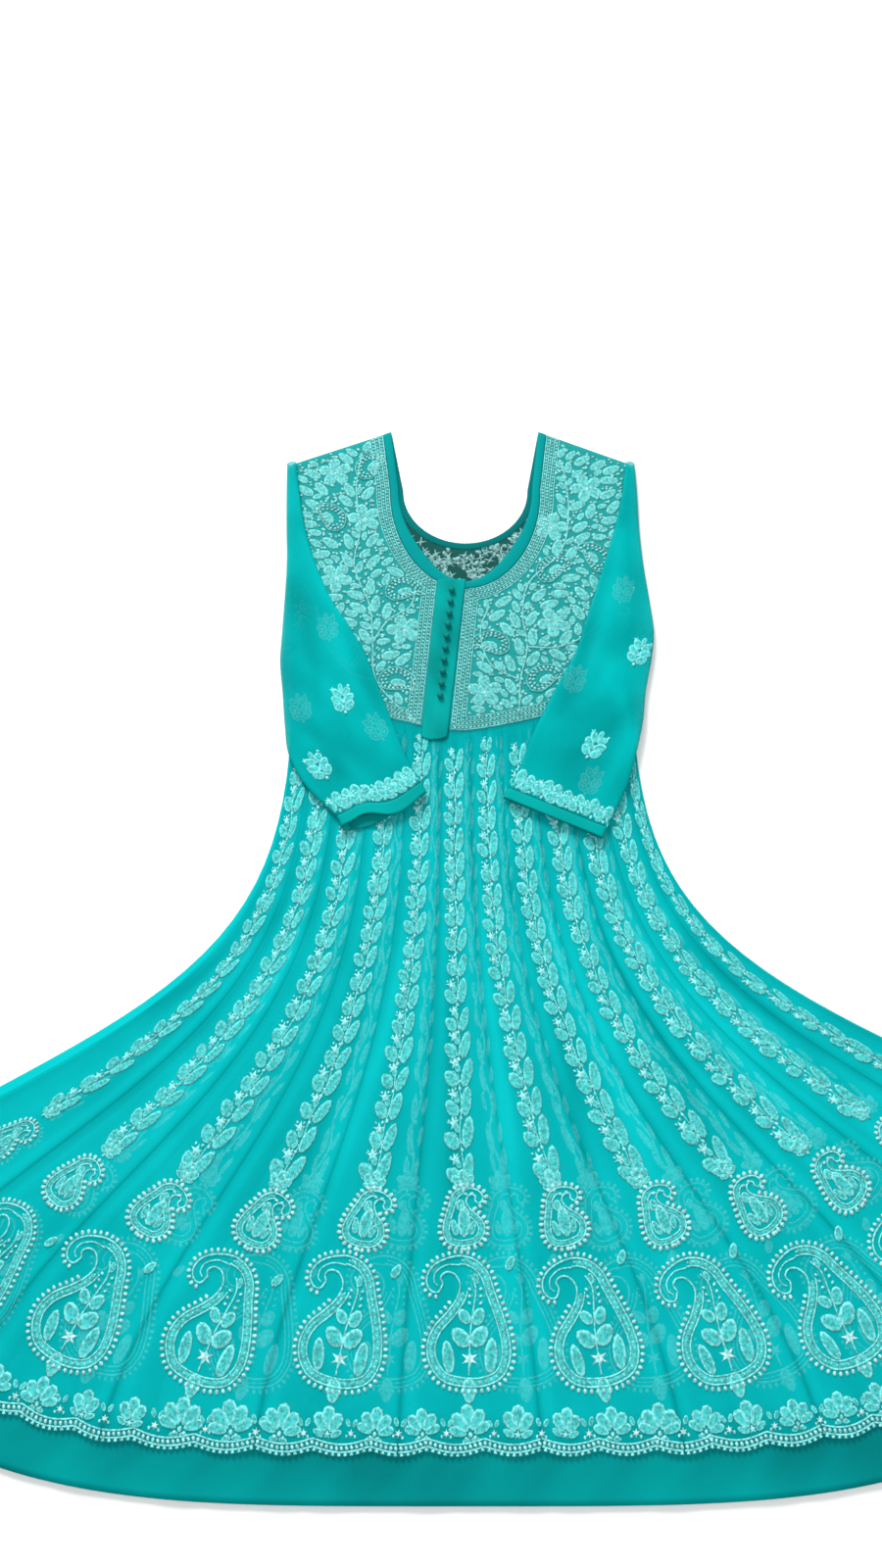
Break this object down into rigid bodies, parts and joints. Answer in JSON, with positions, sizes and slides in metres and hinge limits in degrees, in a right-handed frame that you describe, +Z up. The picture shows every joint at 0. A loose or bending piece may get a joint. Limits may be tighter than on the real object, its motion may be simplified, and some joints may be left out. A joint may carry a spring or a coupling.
{
  "type": "chikankari anarkali kurti, laid flat",
  "caption": "Embroidered kurti with a fitted buttoned yoke, three-quarter sleeves folded over it and a wide skirt of narrow flared gores, laid flat front up.",
  "frame": {"origin": "centre of the garment's bounding box, on the surface that it lies on", "axes": "+X towards the wearer's left, +Y towards the neck, +Z up from the surface"},
  "size_m": [1.3452, 1.117, 0.0123],
  "materials": {
    "georgette": "matte",
    "yoke_cloth": "matte",
    "plain_band": "satin",
    "potli_button": "satin",
    "chikan_thread": "satin"
  },
  "bodies": {
    "root": {"kali_front_01": "georgette", "kali_front_02": "georgette", "kali_front_03": "georgette", "kali_front_04": "georgette", "kali_front_05": "georgette", "kali_front_06": "georgette", "kali_front_07": "georgette", "kali_front_08": "georgette", "kali_front_09": "georgette", "kali_front_10": "georgette", "kali_front_11": "georgette", "kali_front_12": "georgette", "kali_back_01": "georgette", "kali_back_02": "georgette", "kali_back_03": "georgette", "kali_back_04": "georgette", "kali_back_05": "georgette", "kali_back_06": "georgette", "kali_back_07": "georgette", "kali_back_08": "georgette", "kali_back_09": "georgette", "kali_back_10": "georgette", "kali_back_11": "georgette", "kali_back_12": "georgette", "hem_band_front": "plain_band", "hem_band_back": "plain_band", "yoke_front_right": "yoke_cloth", "yoke_front_left": "yoke_cloth", "yoke_back": "yoke_cloth", "neck_band_front": "plain_band", "neck_band_back": "plain_band", "placket": "plain_band", "button_01": "potli_button", "button_02": "potli_button", "button_03": "potli_button", "button_04": "potli_button", "button_05": "potli_button", "button_06": "potli_button", "button_07": "potli_button", "button_08": "potli_button", "button_09": "potli_button", "button_10": "potli_button", "sleeve_right": "georgette", "sleeve_left": "georgette", "cuff_band_right": "plain_band", "cuff_band_left": "plain_band"}
  },
  "joints": []
}
